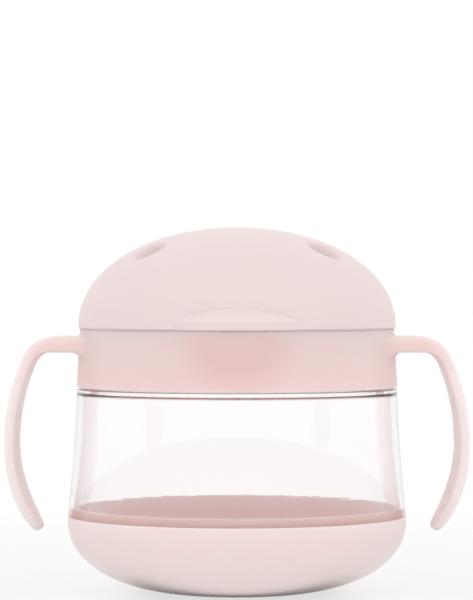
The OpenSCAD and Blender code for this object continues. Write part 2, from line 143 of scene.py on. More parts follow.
def polypropylene(name, code, roughness, glow=0.5, patches=(), band=None, velvet=0.0):
    """Moulded polypropylene: satin, waxy and slightly translucent, with a faint flow cloud in
    its colour and the fine grain of a spark eroded mould on its skin. Its glow is the share of
    light that goes through the wall. Patches (x, y, z, radius, colour) are painted shade or
    painted light, a deeper or paler pink faded out from a middle, and a band (z, r, colour)
    is painted shade on all that lies above a height and beyond a radius. Velvet is the pale
    bloom that a soft touch skin shows towards its edges. Sizes are in mm."""
    material = new_material(name)
    place = add(material, "TexCoord")
    # Flow clouds are about 30 mm across
    flow = add(material, "TexNoise", [("Scale", 33.0), ("Detail", 3.0), ("Roughness", 0.45)],
               [("Vector", place, "Object")])
    deep = [c * 0.965 for c in linear(code)[:3]] + [1.0]
    tone = add(material, "Mix", [(6, linear(code)), (7, deep)], [(0, flow, 0)], data_type="RGBA")
    # Each patch paints shade or light: a deeper or paler pink over part of the skin
    for x, y, z, radius, painted_tone_code in patches:
        middle = (x * MM, y * MM, z * MM)
        spot = add(material, "Mapping", [("Location", middle), ("Scale", (radius * MM,) * 3)],
                   [("Vector", place, "Object")], vector_type="TEXTURE")
        # Full within two fifths of its radius, and faded out towards the rest
        near = add(material, "TexGradient", (), [("Vector", spot, 0)], gradient_type="SPHERICAL")
        depth = add(material, "MapRange", [("From Max", 0.6)], [("Value", near, 1)],
                    interpolation_type="SMOOTHSTEP")
        tone = add(material, "Mix", [(7, linear(painted_tone_code))], [(0, depth, 0), (6, tone, 2)],
                   data_type="RGBA")
    # The band paints shade on all that lies above a height and beyond a radius
    if band:
        level, inner, band_code = band
        parts = add(material, "SeparateXYZ", (), [("Vector", place, "Object")])
        above = add(material, "MapRange",
                    [("From Min", (level - 0.1) * MM), ("From Max", (level + 0.1) * MM)],
                    [("Value", parts, "Z")])
        plan = add(material, "Mapping", [("Scale", (1.0, 1.0, 0.0))], [("Vector", place, "Object")])
        out = add(material, "VectorMath", (), [(0, plan, 0)], operation="LENGTH")
        beyond = add(material, "MapRange",
                     [("From Min", (inner - 0.1) * MM), ("From Max", (inner + 0.1) * MM)],
                     [("Value", out, "Value")])
        both = add(material, "Math", (), [(0, above, 0), (1, beyond, 0)], operation="MULTIPLY")
        tone = add(material, "Mix", [(7, linear(band_code))], [(0, both, 0), (6, tone, 2)], data_type="RGBA")
    # Mould grain is 0.1 mm in truth, drawn at 0.35 mm so that it catches light in the render
    grain = add(material, "TexNoise", [("Scale", 2800.0), ("Detail", 2.0), ("Roughness", 0.6)],
                [("Vector", place, "Object")])
    # Slow sink marks of the cooling wall are about 20 mm across
    sink = add(material, "TexNoise", [("Scale", 50.0), ("Detail", 1.0)], [("Vector", place, "Object")])
    soft_bump = add(material, "Bump", [("Strength", 0.25), ("Distance", 0.0001)], [("Height", sink, 0)])
    skin = add(material, "Bump", [("Strength", 0.12), ("Distance", 0.00002)],
               [("Height", grain, 0), ("Normal", soft_bump, 0)])
    gloss = add(material, "MapRange", [("To Min", roughness - 0.03), ("To Max", roughness + 0.05)],
                [("Value", grain, 0)])
    shader = add(material, "BsdfPrincipled",
                 [("IOR", 1.49), ("Subsurface Weight", glow), ("Subsurface Scale", 0.003),
                  ("Subsurface Radius", (1.0, 0.86, 0.83)),
                  ("Sheen Weight", velvet), ("Sheen Roughness", 0.4)],
                 [("Base Color", tone, 2), ("Roughness", gloss, 0), ("Normal", skin, 0)])
    add(material, "OutputMaterial", (), [("Surface", shader, 0)])
    return material


def finished(name, shell, material, body, slot, *nodes, crease=34):
    """Turns the shell into a named piece that stands for CAD nodes and rides on a body."""
    mesh = bpy.data.meshes.new(name)
    shell.to_mesh(mesh)
    shell.free()
    mesh.shade_smooth()
    mesh.set_sharp_from_angle(angle=math.radians(crease))
    mesh.materials.append(material)
    item = bpy.data.objects.new(name, mesh)
    bpy.context.scene.collection.objects.link(item)
    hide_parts(*nodes)
    if body:
        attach(item, body)
    return item


base_outside = bowl_quarter(BASE_FOOT_R, BASE_R, 0, BASE_SIDE_Z, BASE_POWER, 56)
base_inside = bowl_quarter(BASE_FOOT_R, LIP_IN_R, BASE_WALL, BASE_SIDE_Z, BASE_POWER, 48)
base_shell = turned(rounded(
    [(0, GATE_NIB_DEPTH), (GATE_NIB_R, GATE_NIB_DEPTH), (GATE_NIB_FOOT_R, GATE_DEPTH),
     (GATE_R - GATE_DEPTH, GATE_DEPTH), (GATE_R, 0, 0.2)]
    + base_outside
    + [(BASE_R, BASE_RIM_Z, RIM_ROUND), (LIP_R, BASE_RIM_Z, 0.1), (LIP_R, LIP_Z, RIM_ROUND),
       (LIP_IN_R, LIP_Z, 0.5)]
    + base_inside[::-1] + [(0, BASE_WALL)]))
# The lip's outer face carries painted shade as a band
base_skin = polypropylene("base_moulded_polypropylene", BASE_PINK, BASE_ROUGHNESS, BASE_GLOW,
                          band=(BASE_RIM_Z, (LIP_IN_R + LIP_R) / 2, LIP_PAINTED_SHADE), velvet=BASE_VELVET)
finished("base_bowl", base_shell, base_skin, "cup", "pink_plastic", "base")

# ------------------------------------------------------------- Clear cup
# The clear wall is blow formed copolyester in one piece with its shoulder and threaded neck.
# It flares softly towards its foot, which is welded round the base's lip.
CUP_FOOT_Z = 21.0
CUP_TOP_Z = 55.5
CUP_WALL = 1.5
CUP_FOOT_R = 46.0
CUP_TOP_R = 43.6
CUP_FLARE = 1.5
NECK_R = 39.4
NECK_Z = 66.15
THREAD_SWEEP = 150.0
THREAD_LEAD = 12.0
THREAD_DEPTH = 1.25
THREAD_ROOT_W = 2.4
THREAD_TIP_W = 1.2
THREAD_SUNK = 0.2
THREAD_FADE = 9.0
THREAD_STEPS = 60
NECK_THREAD_Z = 59.65
WELD_SUNK = 0.02
SHOULDER_FALL = 1.0
NECK_ROUND = 0.35
INNER_ROUND = 0.3


def cup_wall_r(z):
    """Outer radius of the clear wall at a height."""
    rise = (z - CUP_FOOT_Z) / (CUP_TOP_Z - CUP_FOOT_Z)
    return CUP_TOP_R + (CUP_FOOT_R - CUP_TOP_R) * (1 - rise) ** CUP_FLARE


def thread_ridge(root_r, tip_r, start_z, turn):
    """One screw ridge with a run-out at each end."""
    ridge = bmesh.new()
    profile = rounded([(root_r, -THREAD_ROOT_W / 2), (tip_r, -THREAD_TIP_W / 2, 0.3),
                       (tip_r, THREAD_TIP_W / 2, 0.3), (root_r, THREAD_ROOT_W / 2)], 3)
    points = [ridge.verts.new((r * MM, 0, (start_z + z) * MM)) for r, z in profile]
    edges = [ridge.edges.new((points[i], points[i - 1])) for i in range(len(points))]
    rise = THREAD_LEAD * THREAD_SWEEP / 360
    bmesh.ops.spin(ridge, geom=points + edges, cent=(0, 0, 0), axis=(0, 0, 1),
                   dvec=(0, 0, rise / THREAD_STEPS * MM), angle=math.radians(THREAD_SWEEP),
                   steps=THREAD_STEPS)
    # The last few degrees at each end sink towards the root
    for vertex in ridge.verts:
        angle = math.degrees(math.atan2(vertex.co.y, vertex.co.x)) % 360
        fade = min(1.0, (min(angle, THREAD_SWEEP - angle) + 1.0) / THREAD_FADE)
        radius = math.hypot(vertex.co.x, vertex.co.y)
        target = root_r * MM + (radius - root_r * MM) * math.sin(math.pi / 2 * fade)
        vertex.co.x *= target / radius
        vertex.co.y *= target / radius
    bmesh.ops.holes_fill(ridge, edges=[e for e in ridge.edges if e.is_boundary])
    bmesh.ops.rotate(ridge, verts=ridge.verts, cent=(0, 0, 0),
                     matrix=Matrix.Rotation(math.radians(turn), 3, "Z"))
    bmesh.ops.recalc_face_normals(ridge, faces=ridge.faces)
    return ridge


def combined(first, second, operation="UNION"):
    """The first shell with the second added to it or cut away from it. Both are used up."""
    items = []
    for shell in (first, second):
        mesh = bpy.data.meshes.new("shell")
        shell.to_mesh(mesh)
        shell.free()
        items.append(bpy.data.objects.new("shell", mesh))
        bpy.context.scene.collection.objects.link(items[-1])
    join = items[0].modifiers.new("join", "BOOLEAN")
    join.operation = operation
    join.object = items[1]
    join.solver = "MANIFOLD"
    whole = bmesh.new()
    whole.from_object(items[0], bpy.context.evaluated_depsgraph_get())
    for item in items:
        bpy.data.meshes.remove(item.data)
    return whole


cup_rows = [CUP_FOOT_Z + (CUP_TOP_Z - CUP_FOOT_Z) * i / 40 for i in range(41)]
inner_rows = [LIP_Z + (CUP_TOP_Z - CUP_WALL - SHOULDER_FALL - LIP_Z) * i / 36 for i in range(37)]
cup_shell = turned(rounded(
    [(CUP_FOOT_R - CUP_WALL, CUP_FOOT_Z - WELD_SUNK, 0.1), (CUP_FOOT_R, CUP_FOOT_Z - WELD_SUNK, 0.15)]
    + [(cup_wall_r(z), z) for z in cup_rows[1:-1]]
    + [(CUP_TOP_R, CUP_TOP_Z, 0.25), (NECK_R, CUP_TOP_Z, 0.2), (NECK_R, NECK_Z, NECK_ROUND),
       (NECK_R - CUP_WALL, NECK_Z, NECK_ROUND), (NECK_R - CUP_WALL, CUP_TOP_Z - CUP_WALL, INNER_ROUND),
       (cup_wall_r(CUP_TOP_Z - CUP_WALL) - CUP_WALL, CUP_TOP_Z - CUP_WALL, INNER_ROUND)]
    + [(cup_wall_r(z) - CUP_WALL, z) for z in inner_rows[::-1]]))
for start in (0, 180):
    ridge = thread_ridge(NECK_R - THREAD_SUNK, NECK_R + THREAD_DEPTH, NECK_THREAD_Z, start)
    cup_shell = combined(cup_shell, ridge)

# Clear copolyester is as bright as glass, with slow waves left by the mould that bend what is
# seen through it, and it lets light through to the inside.
copolyester = new_material("clear_moulded_copolyester")
place = add(copolyester, "TexCoord")
stretch = add(copolyester, "Mapping", [("Scale", (1.0, 1.0, 0.35))], [("Vector", place, "Object")])
# Waves in the wall are about 14 mm apart and longer upright
waves = add(copolyester, "TexNoise", [("Scale", 70.0), ("Detail", 1.0)], [("Vector", stretch, 0)])
wave_bump = add(copolyester, "Bump", [("Strength", 0.2), ("Distance", 0.00008)], [("Height", waves, 0)])
# Ripples near the foot, where the wall is drawn down over the bowl, are about 3 mm high and 12 mm long.
# They start 34 mm above the table and are full from 26 mm down.
flat = add(copolyester, "Mapping", [("Scale", (1.0, 1.0, 4.0))], [("Vector", place, "Object")])
ripples = add(copolyester, "TexNoise", [("Scale", 85.0), ("Detail", 2.0)], [("Vector", flat, 0)])
heights = add(copolyester, "SeparateXYZ", (), [("Vector", place, "Object")])
low_down = add(copolyester, "MapRange", [("From Min", 0.034), ("From Max", 0.026), ("To Max", 0.35)],
               [("Value", heights, "Z")], interpolation_type="SMOOTHSTEP")
foot_bump = add(copolyester, "Bump", [("Distance", 0.0001)],
                [("Strength", low_down, 0), ("Height", ripples, 0), ("Normal", wave_bump, 0)])
clear_shader = add(copolyester, "BsdfPrincipled",
                   [("Base Color", linear("#FFFEFE")), ("Roughness", 0.02), ("IOR", 1.57),
                    ("Transmission Weight", 1.0)], [("Normal", foot_bump, 0)])
let_through = add(copolyester, "BsdfTransparent", [("Color", linear("#FEFDFD"))])
ray = add(copolyester, "LightPath")
unseen = add(copolyester, "Math", (), [(0, ray, "Is Shadow Ray"), (1, ray, "Is Diffuse Ray")],
             operation="MAXIMUM")
clear_mix = add(copolyester, "MixShader", (), [(0, unseen, 0), (1, clear_shader, 0), (2, let_through, 0)])
add(copolyester, "OutputMaterial", (), [("Surface", clear_mix, 0)])
finished("clear_cup", cup_shell, copolyester, "cup", "clear_plastic", "cup")

# ----------------------------------------------------------- Spill guard
# The guard is one soft silicone moulding: a rim over the neck, a skirt inside it, and a thin
# membrane that is slit into petals. The ring is made here and the petals after it.
GUARD_TOP_Z = 67.65
GUARD_T = 0.8
GUARD_RIM_Z = 66.25
GUARD_RIM_R = 40.2
SKIRT_R = 37.6
SKIRT_IN_R = 36.2
SKIRT_LOW_Z = 63.15
PETAL_ROOT = 26.0
PETALS = 6
SLIT_W = 0.6
BLANK_IN_R = 16.0
SILICONE_PINK = "#EBCFCE"

guard_shell = turned(rounded(
    [(BLANK_IN_R, GUARD_TOP_Z - GUARD_T), (SKIRT_IN_R, GUARD_TOP_Z - GUARD_T, 0.5),
     (SKIRT_IN_R, SKIRT_LOW_Z, 0.4), (SKIRT_R, SKIRT_LOW_Z, 0.4), (SKIRT_R, GUARD_RIM_Z, 0.3),
     (GUARD_RIM_R, GUARD_RIM_Z, 0.3), (GUARD_RIM_R, GUARD_TOP_Z, 0.5), (BLANK_IN_R, GUARD_TOP_Z)]), 192)
# The hole has a straight side for each petal's root
opening = bmesh.new()
corner_r = PETAL_ROOT / math.cos(math.pi / PETALS) * MM
bmesh.ops.create_cone(opening, cap_ends=True, segments=PETALS, radius1=corner_r, radius2=corner_r,
                      depth=10 * MM, matrix=Matrix.Translation((0, 0, GUARD_TOP_Z * MM)))
guard_shell = combined(guard_shell, opening, "DIFFERENCE")

# Silicone rubber is matt and milky, so light goes a little way into it and its edges glow.
silicone = new_material("moulded_silicone")
place = add(silicone, "TexCoord")
# Powdery bloom on the skin is about 3 mm across
bloom = add(silicone, "TexNoise", [("Scale", 330.0), ("Detail", 4.0)], [("Vector", place, "Object")])
matt = add(silicone, "MapRange", [("To Min", 0.5), ("To Max", 0.68)], [("Value", bloom, 0)])
milky = add(silicone, "Mix", [(6, linear(SILICONE_PINK)), (7, linear("#F0D9D8"))], [(0, bloom, 0)],
            data_type="RGBA")
silicone_bump = add(silicone, "Bump", [("Strength", 0.15), ("Distance", 0.00003)], [("Height", bloom, 0)])
silicone_shader = add(silicone, "BsdfPrincipled",
                      [("IOR", 1.41), ("Subsurface Weight", 0.35), ("Subsurface Scale", 0.002),
                       ("Subsurface Radius", (1.0, 0.6, 0.55))],
                      [("Base Color", milky, 2), ("Roughness", matt, 0), ("Normal", silicone_bump, 0)])
add(silicone, "OutputMaterial", (), [("Surface", silicone_shader, 0)])
finished("guard_ring", guard_shell, silicone, "guard", "silicone", "guard")

# ---------------------------------------------------------------- Petals
# Six soft flaps of the guard's membrane meet at the middle. Each has a straight root,
# where it runs on into the ring without a seam.
PETAL_CUTS = 26
PETAL_SUNK = 0.02
PETAL_ROUND = 0.2


def thicken(shell, face, way):
    """Extrudes a flat face of the shell by a way (x, y, z) in mm, which makes a plate of it."""
    lifted = bmesh.ops.extrude_face_region(shell, geom=[face])["geom"]
    bmesh.ops.translate(shell, verts=[v for v in lifted if isinstance(v, bmesh.types.BMVert)],
                        vec=[c * MM for c in way])
    bmesh.ops.recalc_face_normals(shell, faces=shell.faces)


for index in range(PETALS):
    half_angle = math.pi / PETALS
    tip = SLIT_W / 2 / math.sin(half_angle)
    root = PETAL_ROOT + PETAL_SUNK
    flap = bmesh.new()
    corners = [flap.verts.new((x * MM, y * MM, (GUARD_TOP_Z - GUARD_T) * MM))
               for x, y in ((tip, 0), (root, -(root - tip) * math.tan(half_angle)),
                            (root, (root - tip) * math.tan(half_angle)))]
    thicken(flap, flap.faces.new(corners), (0, 0, GUARD_T))
    rim = [e for e in flap.edges if max(v.co.x for v in e.verts) < root * MM * 1.01
           and not all(v.co.x > (root - 0.1) * MM for v in e.verts)
           and abs(e.verts[0].co.z - e.verts[1].co.z) < 0.01 * MM]
    bmesh.ops.bevel(flap, geom=rim, offset=PETAL_ROUND * MM, segments=3, profile=0.5, affect="EDGES",
                    material=-1)
    for k in range(1, PETAL_CUTS):
        station = tip + (root - tip) * k / PETAL_CUTS
        bmesh.ops.bisect_plane(flap, geom=flap.verts[:] + flap.edges[:] + flap.faces[:], dist=0.0001 * MM,
                               plane_co=(station * MM, 0, 0), plane_no=(1, 0, 0))
    turn = index * 2 * half_angle
    bmesh.ops.rotate(flap, verts=flap.verts, cent=(0, 0, 0), matrix=Matrix.Rotation(turn, 3, "Z"))
    name = f"petal_{index + 1}"
    petal = finished(name + "_flap", flap, silicone, None, "silicone", name)
    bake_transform(petal)

# ---------------------------------------------------------------- Collar
# The screw collar is one polypropylene moulding: a slightly tapered ring with a flat top, a
# swelling under the lid's thumb tab, two open ended handles and two ears for the hinge pin.
COLLAR_Z = 55.8
COLLAR_TOP_Z = 71.7
COLLAR_R = 43.6
COLLAR_TOP_R = 42.7
BORE_R = 41.0
PLATE_T = 2.2
MOUTH_R = 34.8
MOUTH_LIP_R = 38.4
MOUTH_LIP_Z = 67.75
COLLAR_THREAD_Z = 57.3
SWELL_FROM_R = 41.2
SWELL_NONE_R = 41.3
TAB_R = 21.75
TAB_Y = 25.3
CHIN_BLEND = 0.9
COLLAR_ROUGHNESS = 0.38
COLLAR_GLOW = 1.0
# The collar is a deeper pink than the lid and base, which paints part of the shade on its upright wall
COLLAR_SHADED_PINK = "#F1DAD8"
# Painted shade on the swelling under the lid's tab
CHIN_PAINTED_SHADE = "#ECD0CD"
# Painted light on the handles, which are paler than the ring
STRAP_PAINTED_LIGHT = "#F7E8E7"
# Radius of the swelling round the tab's own axis, by height
CHIN = [(56.5, 17.1), (58.5, 17.75), (60.5, 18.4), (63.0, 19.2), (66.0, 20.1), (69.0, 20.9), (72.0, 21.5)]


def chin_r(z):
    """Radius of the swelling at a height, in a straight line between its measured heights."""
    for (z0, r0), (z1, r1) in zip(CHIN, CHIN[1:]):
        if z <= z1:
            return r0 + (r1 - r0) * max(0.0, (z - z0) / (z1 - z0))
    return CHIN[-1][1]


def collar_r(z):
    """Radius of the collar's plain tapered wall at a height."""
    return COLLAR_R + (COLLAR_TOP_R - COLLAR_R) * (z - COLLAR_Z) / (COLLAR_TOP_Z - COLLAR_Z)


wall_rows = [COLLAR_Z + 0.9 + (COLLAR_TOP_Z - COLLAR_Z - 1.9) * i / 34 for i in range(35)]
collar_shell = turned(rounded(
    [(BORE_R, COLLAR_Z, 0.4), (COLLAR_R, COLLAR_Z, 0.5)]
    + [(collar_r(z), z) for z in wall_rows]
    + [(COLLAR_TOP_R, COLLAR_TOP_Z, 0.25), (MOUTH_R + 3, COLLAR_TOP_Z), (MOUTH_R, COLLAR_TOP_Z, 0.6),
       (MOUTH_R, MOUTH_LIP_Z, 0.5), (MOUTH_LIP_R, MOUTH_LIP_Z, 0.3),
       (MOUTH_LIP_R, COLLAR_TOP_Z - PLATE_T, 0.3), (BORE_R, COLLAR_TOP_Z - PLATE_T, 0.5),
       (BORE_R, COLLAR_Z + 6)]), 320)
for vertex in collar_shell.verts:
    x, y, z = vertex.co / MM
    radius = math.hypot(x, y)
    # Only the outer wall and the top's outer edge swell, and only in front
    if y > 0 or radius < SWELL_FROM_R:
        continue
    plain = collar_r(min(z, COLLAR_TOP_Z))
    side = x / radius
    front = -y / radius
    under = chin_r(z) ** 2 - (TAB_Y * side) ** 2
    if under <= 0:
        continue
    reach = TAB_Y * front + math.sqrt(under)
    share = min(1.0, max(0.0, 0.5 + 0.5 * (reach - plain) / CHIN_BLEND))
    swollen = plain + (reach - plain) * share + CHIN_BLEND * share * (1 - share)
    if swollen > plain:
        inside = min(1.0, max(0.0, (radius - SWELL_NONE_R) / (plain - SWELL_NONE_R)))
        grown = radius + (swollen - plain) * inside
        vertex.co.x *= grown / radius
        vertex.co.y *= grown / radius

# Handles: a flat strap with a rounded rim, cut to its outline and then bent to its side shape
ARM_TOP_Z = 69.6
ARM_T = 4.2
STRAP_T = 2.9
STRAP_HALF = 11.0
STRAP_EDGE = 1.0
REACH = 62.7
MID_Z = 40.5
BOW_R = 57.0
CURL_R = 40.0
CORNER_R = 9.0
CORNER_IN_R = 5.5
WEB_R = 12.0
ROOT_X = 41.4
ROOT_FILLET = 2.2
ROOT_TOP_FILLET = 1.0
TONGUE = 12.8
TIP_TURN = 37.2
bow_x = REACH - BOW_R
curl_x = REACH - CURL_R
corner_z = ARM_TOP_Z - CORNER_R
corner_x = bow_x + math.sqrt((BOW_R - CORNER_R) ** 2 - (corner_z - MID_Z) ** 2)
corner_turn = math.asin((corner_z - MID_Z) / (BOW_R - CORNER_R))
in_z = ARM_TOP_Z - ARM_T - CORNER_IN_R
in_x = bow_x + math.sqrt((BOW_R - STRAP_T - CORNER_IN_R) ** 2 - (in_z - MID_Z) ** 2)
in_turn = math.asin((in_z - MID_Z) / (BOW_R - STRAP_T - CORNER_IN_R))
# Lengths of the arm, the corner, the bow and the curl along the strap's middle
strap_runs = [corner_x - ROOT_X, (CORNER_R + CORNER_IN_R) / 2 * (math.pi / 2 - corner_turn),
              (BOW_R - STRAP_T / 2) * corner_turn, (CURL_R - STRAP_T / 2) * math.radians(TIP_TURN)]
strap_end = ROOT_X + sum(strap_runs)


def on_strap(s, outer):
    """Point (x, z) on the strap's outer or inner face at a distance along the strap."""
    s -= ROOT_X
    if s <= strap_runs[0]:
        t = s / strap_runs[0]
        return ROOT_X + t * ((corner_x if outer else in_x) - ROOT_X), ARM_TOP_Z - (0 if outer else ARM_T)
    s -= strap_runs[0]
    if s <= strap_runs[1]:
        t = s / strap_runs[1]
        turn = math.pi / 2 + ((corner_turn if outer else in_turn) - math.pi / 2) * t
        cx, cz, r = (corner_x, corner_z, CORNER_R) if outer else (in_x, in_z, CORNER_IN_R)
    else:
        s -= strap_runs[1]
        t = s / strap_runs[2]
        if t <= 1:
            turn = (corner_turn if outer else in_turn) * (1 - t)
            cx, cz, r = bow_x, MID_Z, BOW_R - (0 if outer else STRAP_T)
        else:
            turn = -math.radians(TIP_TURN) * (s - strap_runs[2]) / strap_runs[3]
            cx, cz, r = curl_x, MID_Z, CURL_R - (0 if outer else STRAP_T)
    return cx + r * math.cos(turn), cz + r * math.sin(turn)


root_r = collar_r(ARM_TOP_Z - ARM_T / 2) - 0.15
web_y = STRAP_HALF + WEB_R
web_x = math.sqrt((root_r + WEB_R) ** 2 - web_y ** 2)
web_turn = math.atan2(web_y, web_x)


def unbowed(x, y):
    """Plan position before the root is bowed on to the collar's round wall."""
    sag = root_r - math.sqrt(root_r ** 2 - y ** 2)
    span = web_x - root_r
    return (x + sag * web_x / span) / (1 + sag / span)


edge_points = []
for k in range(25):
    turn = math.pi + web_turn + (math.pi / 2 - web_turn) * k / 24
    px, py = web_x + WEB_R * math.cos(turn), web_y + WEB_R * math.sin(turn)
    edge_points.append((unbowed(px, py), py))
half_outline = [(ROOT_X, edge_points[0][1] + 1.0)] + edge_points
half_outline += [(strap_end - TONGUE + TONGUE * math.sin(math.pi / 2 * k / 20),
                  STRAP_HALF * math.cos(math.pi / 2 * k / 20)) for k in range(21)]
strap = bmesh.new()
ring = [strap.verts.new((s * MM, y * MM, -STRAP_T / 2 * MM)) for s, y in half_outline]
ring += [strap.verts.new((s * MM, -y * MM, -STRAP_T / 2 * MM)) for s, y in half_outline[-2::-1]]
thicken(strap, strap.faces.new(ring), (0, 0, STRAP_T))
rim = [e for e in strap.edges if abs(e.verts[0].co.z - e.verts[1].co.z) < 0.01 * MM
       and max(v.co.x for v in e.verts) > (ROOT_X + 0.01) * MM]
bmesh.ops.bevel(strap, geom=rim, offset=STRAP_EDGE * MM, segments=5, profile=0.5, affect="EDGES", material=-1,
                clamp_overlap=True)
cuts = [root_r + d for d in (-0.6, 0, 0.06, 0.14, 0.25, 0.4, 0.6, 0.85, 1.15, 1.5, 1.9, 2.2)]
cuts += [root_r + 2.8 + 0.8 * k for k in range(6)]
cuts += [corner_x + strap_runs[1] * k / 18 for k in range(19)]
cuts += [corner_x + strap_runs[1] + (strap_runs[2] + strap_runs[3]) * k / 56 for k in range(1, 56)]
for station in cuts:
    bmesh.ops.bisect_plane(strap, geom=strap.verts[:] + strap.edges[:] + strap.faces[:], dist=0.0001 * MM,
                           plane_co=(station * MM, 0, 0), plane_no=(1, 0, 0))
for y in [k * 1.5 for k in range(-12, 13)]:
    near = [f for f in strap.faces if f.calc_center_median().x < (web_x + 1) * MM]
    parts = dict.fromkeys(near + [e for f in near for e in f.edges] + [v for f in near for v in f.verts])
    bmesh.ops.bisect_plane(strap, geom=list(parts), dist=0.0001 * MM, plane_co=(0, y * MM, 0),
                           plane_no=(0, 1, 0))
for vertex in strap.verts:
    s, y, n = vertex.co / MM
    share = n / STRAP_T + 0.5
    ox, oz = on_strap(s, True)
    ix, iz = on_strap(s, False)
    x, z = ix + (ox - ix) * share, iz + (oz - iz) * share
    if s < web_x:
        away = max(0.0, s - root_r)
        for radius, side in ((ROOT_FILLET, -1), (ROOT_TOP_FILLET, 1)):
            if away < radius:
                rise = radius - math.sqrt(radius ** 2 - (radius - away) ** 2)
                z += side * rise * max(0.0, side * n / (STRAP_T / 2))
        sag = root_r - math.sqrt(root_r ** 2 - y ** 2)
        x -= sag * (web_x - s) / (web_x - root_r)
    vertex.co = Vector((x, y, z)) * MM
bmesh.ops.recalc_face_normals(strap, faces=strap.faces)
other_strap = strap.copy()
bmesh.ops.mirror(other_strap, geom=other_strap.verts[:] + other_strap.edges[:] + other_strap.faces[:],
                 axis="X", merge_dist=-1)
lone = [v for v in other_strap.verts if v.co.x > 0]
bmesh.ops.delete(other_strap, geom=lone, context="VERTS")
bmesh.ops.recalc_face_normals(other_strap, faces=other_strap.faces)
collar_shell = combined(collar_shell, strap)
collar_shell = combined(collar_shell, other_strap)

# Hinge ears: two rounded plates that grow out of the collar's back
HINGE_Y = 46.9
HINGE_Z = 71.9
KNUCKLE_R = 3.19
KNUCKLE_HALF = 6.0
KNUCKLE_GAP = 0.3
EAR_W = 5.6
EAR_DROP = 7.0
PIN_R = 1.2
PIN_HOLE_R = 1.25
KNUCKLE_ROUND = 0.45
BORE_HALF = 20.0


def plate(outline, x0, x1, edge):
    """Solid of an outline (y, z) in mm between two x, with a rounded rim."""
    solid = bmesh.new()
    points = [solid.verts.new((x0 * MM, y * MM, z * MM)) for y, z in outline]
    thicken(solid, solid.faces.new(points), (x1 - x0, 0, 0))
    rims = [e for e in solid.edges if abs(e.verts[0].co.x - e.verts[1].co.x) < 0.01 * MM]
    bmesh.ops.bevel(solid, geom=rims, offset=edge * MM, segments=3, profile=0.5, affect="EDGES", material=-1)
    return solid


def knuckle_arc(start, end, steps=22):
    """Points of the hinge knuckle's round from one angle to another, in degrees."""
    turns = [math.radians(start + (end - start) * k / steps) for k in range(steps + 1)]
    return [(HINGE_Y + KNUCKLE_R * math.cos(a), HINGE_Z + KNUCKLE_R * math.sin(a)) for a in turns]


def round_bar(radius, x0, x1, edge=0.0, steps=48):
    """Bar along X through the hinge line, with bevelled ends."""
    corner = (edge,) if edge else ()
    bar = turned(rounded([(0, x0), (radius, x0, *corner), (radius, x1, *corner), (0, x1)]), steps)
    bmesh.ops.rotate(bar, verts=bar.verts, cent=(0, 0, 0), matrix=Matrix.Rotation(math.pi / 2, 3, "Y"))
    bmesh.ops.translate(bar, verts=bar.verts, vec=(0, HINGE_Y * MM, HINGE_Z * MM))
    return bar


ear_in = KNUCKLE_HALF + KNUCKLE_GAP
ear_foot = [(BORE_R + 0.5, HINGE_Z - EAR_DROP), (COLLAR_TOP_R + 0.2, HINGE_Z - EAR_DROP)]
ear_head = [(HINGE_Y - KNUCKLE_R, COLLAR_TOP_Z - 0.2), (BORE_R + 0.5, COLLAR_TOP_Z - 0.2)]
for side in (-1, 1):
    ear_from, ear_to = sorted((side * ear_in, side * (ear_in + EAR_W)))
    ear = plate(ear_foot + knuckle_arc(-44, 180) + ear_head, ear_from, ear_to, KNUCKLE_ROUND)
    collar_shell = combined(collar_shell, ear)
collar_shell = combined(collar_shell, round_bar(PIN_R, -BORE_HALF, BORE_HALF), "DIFFERENCE")
for start in (0, 180):
    collar_shell = combined(collar_shell,
                            thread_ridge(BORE_R + THREAD_SUNK, BORE_R - THREAD_DEPTH, COLLAR_THREAD_Z, start))
# The swelling under the tab carries painted shade, a deeper pink, and the handles carry painted light, a
# paler pink
collar_skin = polypropylene("collar_moulded_polypropylene", COLLAR_SHADED_PINK, COLLAR_ROUGHNESS, COLLAR_GLOW,
                            [(0, -COLLAR_R, 69.0, 18.0, CHIN_PAINTED_SHADE), (-64.0, 0, 38.0, 42.0, STRAP_PAINTED_LIGHT),
                             (64.0, 0, 38.0, 42.0, STRAP_PAINTED_LIGHT)])
finished("screw_collar", collar_shell, collar_skin, "collar", "pink_plastic", "collar", crease=32)

# ------------------------------------------------------------- Hinge pin
# A short ground steel pin, pressed into the collar's ears, that the lid turns on.
pin_shell = round_bar(PIN_R, -(ear_in + EAR_W), ear_in + EAR_W, 0.25)

# Ground steel is bright, with fine rings round the pin that draw its highlight out lengthwise.
steel = new_material("ground_steel")
place = add(steel, "TexCoord")
# Grinding rings are 0.05 mm apart in truth, drawn at 0.5 mm so that they show
rings = add(steel, "TexWave", [("Scale", 640.0), ("Distortion", 0.6), ("Detail", 2.0)],
            [("Vector", place, "Object")], bands_direction="X")
ring_bump = add(steel, "Bump", [("Strength", 0.2), ("Distance", 0.00001)], [("Height", rings, 1)])
bright = add(steel, "MapRange", [("To Min", 0.2), ("To Max", 0.32)], [("Value", rings, 1)])
steel_shader = add(steel, "BsdfPrincipled", [("Base Color", linear("#C9C8C6")), ("Metallic", 1.0)],
                   [("Roughness", bright, 0), ("Normal", ring_bump, 0)])
add(steel, "OutputMaterial", (), [("Surface", steel_shader, 0)])
finished("hinge_pin_steel", pin_shell, steel, "collar", "steel", "hinge_pin")

